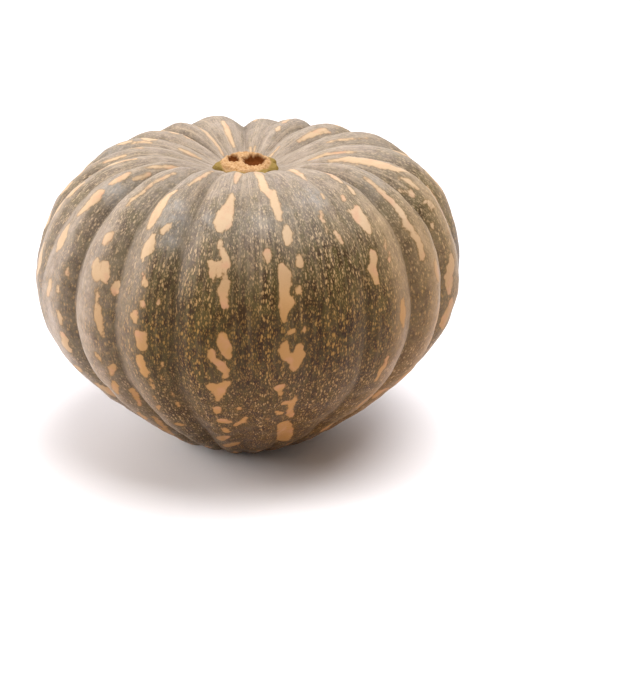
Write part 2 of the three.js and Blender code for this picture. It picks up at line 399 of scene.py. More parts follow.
# %% Marks on the ribs of the front
MARKS = (
    # Rib left of the middle.
    ((-5, 48, 4), (-5, 62, 3), (-5, 69, 1.5)),
    ((-5.5, 82, 1.5), (-5.5, 87, 3.5), (-6, 94, 6), (-7, 101, 9), (-7.3, 106, 10), (-7.8, 110, 5.5)),
    ((-7.6, 118, 2), (-7.3, 122, 3), (-6, 126, 3.5), (-5.2, 130, 4), (-5.5, 133, 3.5), (-5.2, 138, 2)),
    ((-9.6, 131, 3), (-8.7, 133, 5), (-8.7, 137, 4), (-8.4, 141, 2)),
    ((-8.4, 132, 4), (-5.2, 132, 4.5)),
    ((-7, 133, 4), (-7, 137, 3)),
    ((-5.2, 142, 5), (-5.8, 146, 6), (-5.8, 149, 4), (-5.5, 152, 4.6), (-5.2, 156, 2.5)),
    ((-5.8, 172, 5), (-5.5, 177, 7.5), (-5, 181, 6.5), (-4.4, 184, 3.3)),
    ((-8.7, 181, 3), (-8.4, 184, 4.5), (-8.1, 186, 3), (-6.4, 189, 5.4), (-5.2, 194, 4.2), (-5.2, 198, 3)),
    ((-8.7, 205, 6), (-7, 208, 8), (-5.2, 204, 5.5)),
    ((-7, 208, 8), (-7.3, 213, 5.4), (-7.8, 218, 2.3)),
    ((-8.1, 227, 5), (-8.4, 231, 4.5)),
    ((-7.6, 244, 6.5), (-5.8, 247, 5)),
    ((-7.8, 257, 3), (-7, 262, 4)),
    ((-11.3, 278, 6), (-9, 274, 7)),
    ((-9.9, 293, 5), (-5.8, 289, 7)),
    ((-2.1, 228, 3), (-2.1, 230, 3)),
    ((0.2, 240, 3), (-1.2, 248, 3), (-3.2, 253, 4.5)),
    # Rib right of the middle.
    ((8, 48, 4.4), (8.1, 67, 4.4), (8.1, 78, 5), (9.6, 83, 6), (10.8, 87, 5.5), (10.8, 93, 5.3),
     (10.8, 99, 4.6), (10.8, 104, 2.7)),
    ((12.2, 79, 1.7), (11.3, 83, 3.4)),
    ((12.8, 109, 3), (12.5, 113, 5.5), (12.2, 118, 4), (12, 120, 2)),
    ((6, 124, 3), (6, 127, 4.4), (6, 130, 2)),
    ((15, 128, 3), (15, 132, 4.3)),
    ((9.9, 133, 4.6), (10.5, 138, 7.5), (10.5, 142, 7.2), (9.9, 146, 5), (10.2, 151, 7), (10.5, 154, 8.5),
     (9.9, 157, 6.4), (9.6, 161, 4), (9.6, 164, 2.5)),
    ((14.2, 146, 3.3), (14, 148, 4.5)),
    ((11.3, 171, 3), (12, 170, 3)),
    ((10.2, 176, 2), (9.6, 179, 5.4), (9.6, 182, 6), (10.5, 186, 6), (12.2, 188, 7), (13.7, 186, 7.5),
     (13.7, 182, 6), (13.7, 180, 4)),
    ((13, 190, 7), (12.5, 194, 5)),
    ((9.3, 207, 4.7), (8, 208, 3.5), (9.3, 211, 3), (9.3, 215, 1.5)),
    ((14, 218, 2), (13.4, 223, 5.3), (13.4, 230, 3.3), (14, 238, 4.7), (15.7, 245, 2)),
    ((10.8, 222, 3.5), (12.5, 223, 5)),
    ((9, 231, 3), (10.5, 234, 3)),
    ((7, 239, 2.2), (7, 240, 2.2)),
    ((13, 252, 7), (15, 262, 9), (17, 274, 10), (18, 284, 8)),
    ((2, 162, 1), (2, 165, 1.4)),
    ((15, 169, 1.5), (15, 171, 1.5)),
    # Second rib left of the middle.
    ((-24.2, 48, 1), (-23.7, 60, 1.6), (-24.2, 68, 1.9), (-25.4, 78, 1)),
    ((-29, 86, 2.4), (-30.5, 89, 5), (-31.5, 94, 8), (-30.8, 100, 8.5), (-30.8, 105, 8), (-30.8, 110, 6),
     (-30.8, 114, 3.5)),
    ((-24.2, 110, 1.5), (-24.8, 113, 2.8), (-25.4, 116, 3.2)),
    ((-27.7, 119, 2.6), (-28, 123, 5.3), (-28.3, 126, 7), (-28.3, 128, 6.5)),
    ((-29.4, 129, 4.3), (-29.4, 132, 3.2), (-29, 134, 2)),
    ((-28, 142, 2.5), (-27, 146, 3.6), (-26.5, 148, 2.3)),
    ((-26.8, 157, 3), (-26.5, 159, 3.3)),
    ((-28.5, 163, 2.3), (-28.8, 166, 5), (-28.5, 169, 2.8)),
    ((-27.7, 176, 4.2), (-26.8, 178, 7.5), (-26.5, 183, 6), (-26.3, 185, 2.4)),
    ((-25.7, 175, 2.8), (-26.3, 178, 4.5)),
    ((-27.4, 190, 4.3), (-27.4, 195, 5.7), (-27, 200, 5.8), (-27, 204, 3.4)),
    ((-25.7, 206, 1.7), (-25.4, 209, 2)),
    ((-26.3, 211, 2), (-25.7, 214, 2)),
    ((-26.8, 222, 2.3), (-26.5, 224, 2.5)),
    ((-26.8, 232, 1.7), (-27.7, 236, 1.8)),
    ((-22.8, 154, 1), (-22.8, 157, 1.3)),
    ((-22, 194, 1), (-22.5, 198, 1.3)),
    ((-22.5, 203, 1.4), (-22.2, 207, 1.7)),
    ((-21.4, 219, 1.3), (-21.4, 224, 1.3)),
    ((-21, 230, 1.3), (-21, 236, 1.3)),
    ((-25.4, 255, 2.5), (-24.2, 259, 2.5)),
    # Third rib left of the middle.
    ((-41, 65, 1.2), (-41.5, 75, 1.6), (-42, 83, 1.8), (-42, 91, 1.7), (-43, 99, 1.6), (-43.2, 105, 1.1)),
    ((-42.7, 123, 2.6), (-43, 126, 5.3), (-43.2, 129, 4.4)),
    ((-44, 140, 2.2), (-43.8, 144, 6.4), (-43, 149, 6.7)),
    ((-41.2, 142, 5.9), (-40.6, 148, 5.8), (-39.8, 151, 2)),
    ((-36.9, 150, 2.4), (-37.2, 152, 4), (-37.2, 157, 3)),
    ((-41.8, 157, 2.5), (-41.5, 162, 2), (-40.9, 169, 4), (-40.6, 174, 4.3), (-40, 179, 3),
     (-39.5, 184, 1.5)),
    ((-42.4, 196, 1.7), (-41.8, 199, 3.2), (-41.2, 203, 1.5)),
    ((-38.3, 205, 2.9), (-39.2, 208, 4.8), (-40, 213, 2.2)),
    ((-40.6, 220, 3), (-41.5, 226, 4.3), (-42.7, 232, 2)),
    ((-37.4, 229, 2.6), (-37.7, 236, 3), (-38.3, 244, 2), (-39.2, 249, 1.1)),
    ((-38.9, 263, 2), (-39.2, 271, 2.4), (-40.9, 283, 2.7), (-43.5, 296, 2.5)),
    # Fourth rib left of the middle.
    ((-55, 44, 1), (-56, 51, 1.5), (-57.1, 58, 2), (-58.3, 65, 2), (-59.2, 72, 1.2)),
    ((-56, 71, 1), (-56, 76, 1.2), (-56.5, 83, 1)),
    ((-59.7, 83, 3), (-59.5, 88, 4), (-59.7, 92, 4), (-60.2, 96, 2)),
    ((-59.7, 104, 4.6), (-59.7, 107, 6.5), (-60, 112, 5.3), (-60.2, 117, 3.5), (-61.2, 122, 2)),
    ((-64, 133, 7), (-63.4, 137, 10), (-63.6, 141, 10), (-63.4, 145, 5)),
    ((-57, 152, 1.4), (-56.6, 155, 2.7), (-56, 158, 1.3)),
    ((-62.4, 165, 4), (-62.4, 169, 4.5), (-63.6, 174, 4)),
    ((-58.5, 165, 1.8), (-58.3, 168, 2.5)),
    ((-58.3, 181, 2.4), (-57.8, 184, 3), (-57.8, 189, 1.6)),
    # Ribs at the left edge.
    ((-75, 72, 1.5), (-76, 84, 2.3), (-77, 97, 1.5)),
    ((-88, 78, 1.5), (-88, 86, 2), (-88.5, 94, 1.5)),
    ((-107, 66, 1), (-107.5, 72, 1.5), (-107.5, 80, 1)),
    ((-92, 67, 1), (-95, 76, 1.8), (-97, 84, 1)),
    # Second and third rib right of the middle.
    ((40, 38, 2), (36.5, 48, 2.6), (33.6, 59, 2.5), (29.6, 70, 3)),
    ((31, 87, 2.5), (30.4, 91, 2.5)),
    ((25.6, 102, 1.8), (25.6, 105, 1.8)),
    ((24.5, 106, 1.7), (24.8, 109, 1.7)),
    ((25, 112, 1.3), (24.8, 116, 1.3)),
    ((27.6, 117, 3), (28, 120, 3.5), (28.5, 124, 2)),
    ((47, 55, 1.5), (45.5, 62, 2.5), (44, 70, 3), (43, 77, 3.5), (42.4, 83, 2)),
    ((43.4, 87, 2), (43.4, 91, 3), (42.8, 94, 2)),
    ((37.7, 93, 1.9), (37, 96, 1.9)),
    ((39.3, 104, 4.2), (38.4, 108, 7), (38.4, 113, 7.5), (38.7, 117, 5.8), (39, 121, 2.7)),
    ((36.5, 104, 2.4), (37.7, 106, 4.3)),
    ((36.8, 131, 1.6), (37.7, 134, 5), (37.1, 139, 4.4), (36.2, 142, 6), (36.8, 146, 4), (36.8, 150, 3)),
    # Fourth and fifth rib right of the middle.
    ((56.8, 83, 1), (56.5, 89, 1.8), (56.2, 96, 2.4), (56, 103, 2.6), (56.2, 109, 2.7), (56.2, 117, 3.1),
     (55.7, 124, 3.8), (56.2, 130, 3.4), (56.8, 136, 3.7), (56.5, 146, 3.8)),
    ((43.1, 128, 2.4), (42.1, 132, 1.9)),
    ((43.1, 136, 1.7), (42.4, 140, 2)),
    ((72.7, 51, 1), (73.5, 58, 2), (75, 64, 5.5), (75.3, 71, 6.5), (75.6, 79, 7.5), (75.6, 85, 6.6),
     (76.2, 92, 5), (79.5, 99, 3)),
    ((73.5, 97, 1.5), (74.4, 102, 3), (74.4, 110, 1.8)),
    ((72.4, 119, 1.3), (73.2, 122, 2.2), (73.2, 125, 2.4)),
    ((79.5, 118, 2), (79, 126, 3), (78.3, 132, 3.5), (77.4, 140, 3), (75.6, 144, 2.5)),
    ((72.7, 118, 1.3), (74.1, 121, 2.4), (74.4, 125, 3)),
    ((70, 102, 0.9), (70.3, 105, 1.2), (70.3, 108, 1.1)),
    ((71.8, 106, 1), (71.8, 109, 1.3), (71.2, 112, 1)),
    ((70.9, 132, 1.5), (70.6, 135, 1.5)),
    ((88, 117, 2.5), (87, 127, 4), (85.5, 135, 5), (84, 142, 4)),
    # Streaks round the back of the stem.
    ((90, 37, 1), (90.7, 45, 1.7), (90.7, 53, 1.6), (91, 65, 1)),
    ((112.7, 53, 1.2), (112.2, 65, 1.8), (112.2, 81, 1)),
    ((136, 46, 1.5), (136, 53, 2.7), (136, 60, 3.7), (136.6, 67, 3.4), (137.3, 74, 1.4)),
    ((135.6, 65, 2.5), (135, 74, 1.3)),
    ((145, 25, 1.4), (144.3, 35, 1.4)),
    ((170, 34, 1), (169.5, 28, 1)),
    ((175, 33, 1), (174, 28, 1)),
    ((194, 64, 1.9), (194.3, 54, 3.6), (194.7, 45, 3.6), (194.3, 39, 2.7), (193.7, 33, 1.6)),
    ((211, 94, 2), (211, 84, 3.5), (210.4, 66, 4.3), (210.4, 54, 4.2), (210.7, 44, 3.5),
     (211.3, 35, 2.5), (213, 27, 1.2)),
    ((253, 47, 1.1), (253, 41, 2.2), (253.6, 31, 1.1)),
)
print("marks read off by eye", len(MARKS))

# %% [markdown]
# The photograph doesn't show the back, the lowest part and what is hidden at the right. A
# seeded draw fills those stretches with chains of the same sorts: a row down the middle
# of each rib, with gaps, larger on the widest part and smaller toward the blossom end.
# Each is a chain of beads again, plump in the middle, and wanders a little to the sides.

# %% Marks on the hidden ribs
# For each rib that needs more: its number, and where its drawn marks begin in mm.
DRAWN_RIBS = (
    (0, 104), (1, 196), (2, 256), (3, 300), (4, 300), (5, 298), (6, 290), (7, 160), (8, 152), (9, 150),
    (10, 84), (11, 76), (12, 84), (13, 50), (14, 60), (15, 78), (16, 88), (17, 45), (18, 60), (19, 90),
)
ROW_END_MM = 338
FIRST_GAP_MM = (0, 8)
GAP_MM = (3, 15)
# Shortest, longest and how much longer on the widest part, in mm, and the same for widths.
DRAWN_LENGTH = (4, 12, 12)
DRAWN_WIDTH = (2.5, 3.5, 5.5)
WIDEST_ALONG_MM = 165
WIDEST_REACH_MM = 90
BEAD_SPACING_MM = 4
# A mark stands aside by up to this share of the rib's width, and wanders by these degrees.
ASIDE_SHARE = 0.16
WANDER_DEGREES = 0.9
# How far into its swelling a mark begins, how plump it is, and how uneven its beads are.
BLUNT_END = 0.12
PLUMPNESS = 0.7
UNEVEN_BEADS = (0.75, 1.15)
chance = random.Random(11)


def drawn_row(rib_number, start):
    """Chains of beads down the middle of one rib, from start to near the blossom end."""
    width_of_rib = (GROOVES[(rib_number + 1) % RIB_COUNT][0] - GROOVES[rib_number][0]) % 360
    middle = GROOVES[rib_number][0] + width_of_rib / 2
    chains = []
    place = start + chance.uniform(*FIRST_GAP_MM)
    while place < ROW_END_MM:
        fullness = math.exp(-((place - WIDEST_ALONG_MM) / WIDEST_REACH_MM) ** 2)
        length = chance.uniform(DRAWN_LENGTH[0], DRAWN_LENGTH[1] + DRAWN_LENGTH[2] * fullness)
        width = chance.uniform(DRAWN_WIDTH[0], DRAWN_WIDTH[1] + DRAWN_WIDTH[2] * fullness)
        aside = middle + chance.uniform(-ASIDE_SHARE, ASIDE_SHARE) * width_of_rib
        beads = max(2, round(length / BEAD_SPACING_MM))
        chain = []
        for number in range(beads + 1):
            done = number / beads
            swelling = math.sin(math.pi * (BLUNT_END + (1 - 2 * BLUNT_END) * done)) ** PLUMPNESS
            aside += chance.uniform(-WANDER_DEGREES, WANDER_DEGREES)
            chain.append((aside, place + length * done, width * swelling * chance.uniform(*UNEVEN_BEADS)))
        chains.append(tuple(chain))
        place += length + chance.uniform(*GAP_MM)
    return chains


hidden_marks = []
for rib_number, start in DRAWN_RIBS:
    hidden_marks.extend(drawn_row(rib_number, start))
print("marks drawn by chance", len(hidden_marks))

# %% [markdown]
# The depth inside the marks is measured on the skin laid flat: distance round the stem
# times the radius, and distance along the outline. A chain is a row of tapered links, and
# a point's depth in a link is the link's half width there less its distance from it.

# %% Depth of each point inside the marks
DEPTH_LIMIT = 12.0
# At the poles the radius is nothing, and so is a short link's length. Neither counts as less
# than these.
LEAST_RADIUS = 1.0
LEAST_LENGTH_SQUARED = 1e-6

column_radius = np.maximum(out_radius, LEAST_RADIUS)


def turned_from(middle):
    """Degrees by which every point is turned away from an angle, between -180 and 180."""
    return (angle - middle + 180) % 360 - 180


def depth_in_link(start, end):
    """Depth in mm of every point inside one tapered link, negative outside."""
    sideways = np.radians(turned_from((start[0] + end[0]) / 2)) * column_radius
    mean_radius = np.interp((start[1] + end[1]) / 2, strip_along, strip[:, 0] / MM)
    half_turn = np.radians((end[0] - start[0]) / 2) * mean_radius
    run = np.array([2 * half_turn, end[1] - start[1]])
    length_squared = max(run @ run, LEAST_LENGTH_SQUARED)
    from_start_x = sideways + half_turn
    from_start_y = along - start[1]
    done = np.clip((from_start_x * run[0] + from_start_y * run[1]) / length_squared, 0, 1)
    away = np.hypot(from_start_x - done * run[0], from_start_y - done * run[1])
    half_width = (start[2] + (end[2] - start[2]) * done) / 2
    return half_width - away


mark_depth = np.full(len(angle), -DEPTH_LIMIT)
for chain in MARKS + tuple(hidden_marks):
    for start, end in zip(chain, chain[1:]):
        mark_depth = np.maximum(mark_depth, depth_in_link(start, end))
mark_depth = np.minimum(mark_depth, DEPTH_LIMIT)
print("share of points in marks", round(float((mark_depth > 0).mean()), 3))

# %% [markdown]
# ## What the shader needs to know
# Five more facts go to the points. The skin's own coordinates wrap a sheet round the stem
# that is as wide as the fruit's girth everywhere, so a pattern on it is drawn out along
# the ribs and closes up toward the stem, as the real one does. Then how near a groove is,
# for the painted shade in the creases, and how thick a grey veil lies, partly wax and
# partly painted sheen. It covers the top and the flank of each rib that is turned away
# from the front, and is thin in some places. On the shoulders it has a few bluish patches
# of wax bloom with painted sheen. The last fact is a tint for riper skin and painted warm
# shade: more below the shoulders, and most on the side a little right of the front.

# %% Facts kept at the points
GIRTH_RADIUS = 131 * MM

# Angle, distance from the stem in mm, reach in mm and strength of the bloom: wax bloom
# with painted sheen.
BLOOM_PLACES = (
    (-26, 98, 7, 0.8), (-23.5, 108, 8, 0.9), (-22.8, 120, 7, 0.7), (-56.5, 97, 9, 0.8), (-53, 86, 8, 0.5),
    (-11.6, 105, 9, 0.5), (4.3, 104, 10, 0.4), (26, 90, 10, 0.75), (14, 98, 9, 0.3), (58, 90, 11, 0.4),
    (100, 95, 16, 0.5), (128, 110, 11, 0.6), (160, 100, 18, 0.4), (196, 96, 14, 0.6), (230, 110, 12, 0.7),
    (252, 92, 16, 0.5), (-35, 70, 11, 0.3),
)

# How thick the veil of wax and painted sheen is by distance from the stem in mm, on the
# whole skin and on the outer flanks. On the top it also paints a pale sheen.
VEIL_SHARE = ((0, 0.8), (50, 0.75), (80, 0.6), (105, 0.35), (140, 0.1), (250, 0.05), (366, 0.05))
FLANK_SHARE = ((0, 0.4), (90, 0.7), (135, 0.95), (220, 1), (270, 0.9), (320, 0.4), (366, 0))
# The painted sheen of the veil lies on flanks turned away from the first angle, and the
# painted warm shade is strongest at the second one.
VEIL_FRONT = 5
WARM_SHADE_ANGLE = 20
# A rib counts as one of the side by how many degrees it is turned away, and low on the
# ribs of the front the veil and its painted sheen are left off, so they stay dark as painted shade.
SIDE_BY_TURN = ((18, 0), (45, 1))
LOW_BY_DISTANCE = ((110, 0), (160, 0.9))
# Where across a rib of the front its outer flank begins, how much sooner it begins on a
# rib of the side, and how fast the veil thickens from there.
FLANK_BEGINS, SOONER_ON_SIDE, FLANK_SLOPE = 0.4, 0.3, 3
# The veil on the outer flanks in front and at the side, and on the rest of a rib there.
OUTER_VEIL_FRONT, OUTER_VEIL_SIDE, INNER_VEIL_SIDE = 0.5, 0.9, 0.42
# At the back, beyond this cosine of the angle, this share of the veil is left.
BACK_BEGINS = -0.2
BACK_VEIL = 0.75
# Angle, distance from the stem in mm and reach in mm of the places where the veil of wax
# and painted sheen is thin, and the share of it that has gone from the middle of one.
THIN_VEIL_SHARE = 0.85
THIN_VEIL_PLACES = (
    (-10, 168, 24), (0, 186, 22), (22, 170, 34), (27, 135, 16), (-20, 195, 26), (8, 150, 12),
    (66, 122, 12), (95, 180, 34), (140, 150, 30), (178, 190, 32), (215, 160, 30), (250, 200, 34),
)
# The tint of riper skin and painted warm shade grows below the shoulders. On the far side
# it has this share of that, and the higher the last value, the narrower the side where it
# is strongest.
RIPE_BY_DISTANCE = ((110, 0), (240, 1))
FAR_SIDE_SHARE = 0.12
WARM_SHADE_FOCUS = 1.5
# Painted shade in the creases: the power that makes a crease narrower than its groove, the
# groove's depth in mm from which it is full, and how faint the faintest one is.
CREASE_NARROWNESS = 4
FULL_CREASE_DEPTH = 6
FAINTEST_CREASE = 0.3


def keep_number(piece, name, values):
    """Keeps one number at each point of a mesh."""
    piece.data.attributes.new(name, "FLOAT", "POINT").data.foreach_set("value", values.astype(np.float32))


def keep_vector(piece, name, vectors):
    """Keeps three numbers at each point of a mesh."""
    kept = piece.data.attributes.new(name, "FLOAT_VECTOR", "POINT")
    kept.data.foreach_set("vector", vectors.astype(np.float32).ravel())


def spot(spot_angle, spot_along, spot_reach):
    """1 in the middle of a round spot on the skin, fading to 0 around it."""
    sideways = np.radians(turned_from(spot_angle)) * column_radius
    return np.exp(-(np.hypot(sideways, along - spot_along) / spot_reach) ** 2)


bloom_and_sheen = np.zeros(len(angle))
for bloom_angle, bloom_along, bloom_reach, strength in BLOOM_PLACES:
    bloom_and_sheen = np.maximum(bloom_and_sheen, strength * spot(bloom_angle, bloom_along, bloom_reach))

# Painted sheen: the veil lies on the flanks turned away from the front, more at the side.
away_from_front = turned_from(VEIL_FRONT)
on_side = read_table(SIDE_BY_TURN, np.abs(away_from_front))
toward_outer = np.where(away_from_front > 0, across, 1 - across)
flank_begins = FLANK_BEGINS - SOONER_ON_SIDE * on_side
outer_flank = np.clip((toward_outer - flank_begins) * FLANK_SLOPE, 0, 1)
outer_wax_and_sheen = outer_flank * (OUTER_VEIL_FRONT + (OUTER_VEIL_SIDE - OUTER_VEIL_FRONT) * on_side)
low_front = (1 - on_side) * read_table(LOW_BY_DISTANCE, along)
flank_wax_and_sheen = np.maximum(outer_wax_and_sheen, INNER_VEIL_SIDE * on_side)
flank_wax_and_sheen *= (1 - low_front) * read_table(FLANK_SHARE, along)
flank_wax_and_sheen *= np.where(front < BACK_BEGINS, BACK_VEIL, 1)
wax_and_sheen_veil = np.maximum(read_table(VEIL_SHARE, along), flank_wax_and_sheen)
for thin_veil_place in THIN_VEIL_PLACES:
    wax_and_sheen_veil = wax_and_sheen_veil * (1 - THIN_VEIL_SHARE * spot(*thin_veil_place))

# Painted warm shade and riper skin: a tint below the shoulders, strongest a little right of the front.
turned_to_warm_shade = np.clip(np.cos(np.radians(angle - WARM_SHADE_ANGLE)), 0, 1)
toward_warm_shade = FAR_SIDE_SHARE + (1 - FAR_SIDE_SHARE) * turned_to_warm_shade ** WARM_SHADE_FOCUS
ripe_and_shade = read_table(RIPE_BY_DISTANCE, along) * toward_warm_shade

# Painted shade in the creases, darker where a groove is deeper.
depth_of_crease = np.clip(groove_depth[own_groove] / FULL_CREASE_DEPTH, FAINTEST_CREASE, 1)
crease_shade = groove_share * reached * soft_nearness ** CREASE_NARROWNESS * depth_of_crease
keep_vector(fruit, "skin", np.stack([GIRTH_RADIUS * front, GIRTH_RADIUS * right, along * MM], axis=1))
facts = {"mark_depth": mark_depth, "crease_shade": crease_shade, "bloom_and_sheen": bloom_and_sheen, "wax_and_sheen_veil": wax_and_sheen_veil, "ripe_and_shade": ripe_and_shade}
for name, values in facts.items():
    keep_number(fruit, name, values)
print("facts kept", [attribute.name for attribute in fruit.data.attributes])

# %% [markdown]
# ## Rind
# The rind is a living skin with a thin coat of wax, grown and not polished. Its ground is
# dark brown and grey green in streaks. Thousands of cream flecks, a millimetre wide and two
# or three long, stand close together in rows along the ribs, and finer specks between
# them turn the ground into a net. A grey veil, partly wax and partly painted sheen,
# softens all of it on the flanks.

# %% Rind: coordinates
rind, tree = new_material("rind_grown_waxy_skin")
skin = add_node(tree, "Attribute", attribute_name="skin", out="Vector")
depth_of_mark, crease_shade_here, bloom_and_sheen_here, wax_and_sheen_here, ripe_and_shade_here = (
    add_node(tree, "Attribute", attribute_name=name, out="Fac")
    for name in facts
)
from_stem = add_node(tree, "SeparateXYZ", {"Vector": skin}, out="Z")
toward_right = from_stem.node.outputs["Y"]
WANDER_MM = 1.0
wander = add_node(tree, "TexNoise", {"Vector": skin, "Scale": 1 / (2.5 * MM), "Detail": 2.0}, out="Color")
wander_centred = add_node(
    tree, "VectorMath", {"Vector": wander, "Vector_001": (0.5, 0.5, 0.5)}, operation="SUBTRACT")
wander_step = add_node(
    tree, "VectorMath", {"Vector": wander_centred, "Scale": WANDER_MM * MM}, operation="SCALE")
loose_skin = add_node(tree, "VectorMath", {"Vector": skin, "Vector_001": wander_step}, operation="ADD")

# %% [markdown]
# A fleck is the middle of a Voronoi cell, cut off at a random distance so that the
# flecks differ in size and some cells stay empty. The sheet is squeezed along the ribs
# first, which draws the cells out. The real specks are under half a millimetre wide, finer
# than the picture shows, so they are drawn about twice as coarse.

# %% Rind: flecks and specks
# Spacing in mm, squeeze along the ribs, smallest and largest reach as a share of the spacing.
FLECKS = {"spacing": 1.2, "squeeze": 0.42, "reach": (-0.12, 0.5)}
SPECKS = {"spacing": 0.8, "squeeze": 0.45, "reach": (0.05, 0.55)}


def add_flecks(spacing, squeeze, reach):
    """Cells drawn out along the ribs: 1 inside a fleck, 0 between the flecks."""
    drawn_out = add_node(tree, "Mapping", {"Vector": loose_skin, "Scale": (1, 1, squeeze)})
    distance = add_node(
        tree, "TexVoronoi",
        {"Vector": drawn_out, "Scale": 1 / (spacing * MM), "Randomness": 0.85}, out="Distance")
    lot = add_node(tree, "SeparateColor", {"Color": distance.node.outputs["Color"]}, out="Red")
    reach_here = add_node(tree, "MapRange", {"Value": lot, "To Min": reach[0], "To Max": reach[1]})
    inside = add_node(tree, "Math", {"Value": reach_here, "Value_001": distance}, operation="SUBTRACT")
    return add_node(
        tree, "MapRange", {"Value": inside, "From Min": -0.16, "From Max": 0.2},
        interpolation_type="SMOOTHSTEP")


flecks = add_flecks(**FLECKS)
specks = add_flecks(**SPECKS)

# %% [markdown]
# Round the stem and beside a mark the flecks are faint, so the skin looks smoother there.

# %% Rind: flecks thin out toward the stem and around the marks
fleck_onset = add_node(
    tree, "MapRange",
    {"Value": from_stem, "From Min": 50 * MM, "From Max": 130 * MM, "To Min": 0.5, "To Max": 0.92})
border = add_node(
    tree, "MapRange",
    {"Value": depth_of_mark, "From Min": -4.5, "From Max": -1.5, "To Min": 1.0, "To Max": 0.5})
fleck_share = add_node(tree, "Math", {"Value": fleck_onset, "Value_001": border}, operation="MULTIPLY")
flecks_shown = add_node(tree, "Math", {"Value": flecks, "Value_001": fleck_share}, operation="MULTIPLY")
specks_shown = add_node(tree, "Math", {"Value": specks, "Value_001": 0.45}, operation="MULTIPLY")

# %% [markdown]
# The edge of a mark isn't drawn by its beads alone. Noise some millimetres wide pushes it
# in and out, and flecks that touch it grow into it.

# %% Rind: ragged edges of the marks
in_place = add_node(tree, "TexCoord", out="Object")
ragged = add_node(
    tree, "TexNoise",
    {"Vector": in_place, "Scale": 1 / (4.5 * MM), "Detail": 2.0, "Roughness": 0.5}, out="Fac")
ragged_mm = add_node(
    tree, "MapRange", {"Value": ragged, "From Min": 0.25, "From Max": 0.75, "To Min": -0.85, "To Max": 1.0})
rough_depth = add_node(
    tree, "Math",
    {"Value": ragged_mm, "Value_001": fleck_onset, "Value_002": depth_of_mark}, operation="MULTIPLY_ADD")
true_depth = add_node(
    tree, "Math", {"Value": flecks, "Value_001": 0.5, "Value_002": rough_depth}, operation="MULTIPLY_ADD")
marks = add_node(
    tree, "MapRange", {"Value": true_depth, "From Min": -0.3, "From Max": 0.35},
    interpolation_type="SMOOTHSTEP")
edge_distance = add_node(tree, "Math", {"Value": true_depth}, operation="ABSOLUTE")
edge_line = add_node(
    tree, "MapRange", {"Value": edge_distance, "From Max": 0.8, "To Min": 0.35, "To Max": 0.0})

# %% [markdown]
# The ground is brown where the skin is bare and grey green in clouds and round the marks.
# Pale streaks run down from the stem and fade on the shoulders.

# %% Rind: ground colour
SKIN_BROWN = "#2f1f08"
SKIN_GREEN = "#4c4424"
STREAK_PALE = "#a5937b"
mottle = add_node(
    tree, "TexNoise", {"Vector": skin, "Scale": 1 / (14 * MM), "Detail": 4.0, "Roughness": 0.62}, out="Fac")
short_skin = add_node(tree, "Mapping", {"Vector": skin, "Scale": (1, 1, 0.4)})
dapple = add_node(
    tree, "TexNoise", {"Vector": short_skin, "Scale": 1 / (2.4 * MM), "Detail": 2.0}, out="Fac")
green_lot = add_node(tree, "Math", {"Value": mottle, "Value_001": dapple}, operation="ADD")
green_share = add_node(tree, "MapRange", {"Value": green_lot, "From Min": 0.85, "From Max": 1.15})
border_near = add_node(
    tree, "MapRange", {"Value": rough_depth, "From Min": -5.0, "From Max": -0.5, "To Max": 0.75})
green_or_border = add_node(
    tree, "Math", {"Value": green_share, "Value_001": border_near}, operation="MAXIMUM")
ground = add_node(
    tree, "Mix",
    {"Factor_Float": green_or_border, "A_Color": SKIN_BROWN, "B_Color": SKIN_GREEN}, data_type="RGBA")
long_skin = add_node(tree, "Mapping", {"Vector": skin, "Scale": (1, 1, 0.07)})
streak = add_node(
    tree, "TexNoise", {"Vector": long_skin, "Scale": 1 / (2.2 * MM), "Detail": 3.0}, out="Fac")
streak_share = add_node(tree, "MapRange", {"Value": streak, "From Min": 0.5, "From Max": 0.72})
streak_near_stem = add_node(
    tree, "MapRange",
    {"Value": from_stem, "From Min": 60 * MM, "From Max": 150 * MM, "To Min": 0.85, "To Max": 0.12})
streak_weight = add_node(
    tree, "Math", {"Value": streak_share, "Value_001": streak_near_stem}, operation="MULTIPLY")
ground_streaked = add_node(
    tree, "Mix",
    {"Factor_Float": streak_weight, "A_Color": ground, "B_Color": STREAK_PALE}, data_type="RGBA")

# %% Rind: colour of the specks and flecks
FLECK_CREAM = "#baa383"
FLECK_GOLD = "#a07c43"
gold_begins = add_node(tree, "MapRange", {"Value": from_stem, "From Min": 110 * MM, "From Max": 170 * MM})
gold_ends = add_node(
    tree, "MapRange",
    {"Value": from_stem, "From Min": 190 * MM, "From Max": 240 * MM, "To Min": 1.0, "To Max": 0.25})
gold_share = add_node(tree, "Math", {"Value": gold_begins, "Value_001": gold_ends}, operation="MULTIPLY")
fleck_colour = add_node(
    tree, "Mix",
    {"Factor_Float": gold_share, "A_Color": FLECK_CREAM, "B_Color": FLECK_GOLD}, data_type="RGBA")

# %% [markdown]
# Over the flecks lies the veil of wax and painted sheen, in clouds. It is taupe, and
# sandier on the right below the shoulders, where warm bounce light is painted. The bloom
# over it is a cool grey with painted sheen, and the creases between the ribs get painted
# brown shade.

# %% Rind: veil of wax and painted sheen, bloom, painted shade in the creases
WAX_AND_SHEEN_TAUPE = "#b2a499"
WARM_BOUNCE_SAND = "#bca487"
BLOOM_AND_SHEEN_GREY = "#9a9998"
CREASE_SHADE_BROWN = "#3f3520"
wax_cloud = add_node(
    tree, "TexNoise",
    {"Vector": loose_skin, "Scale": 1 / (9 * MM), "Detail": 5.0, "Roughness": 0.75}, out="Fac")
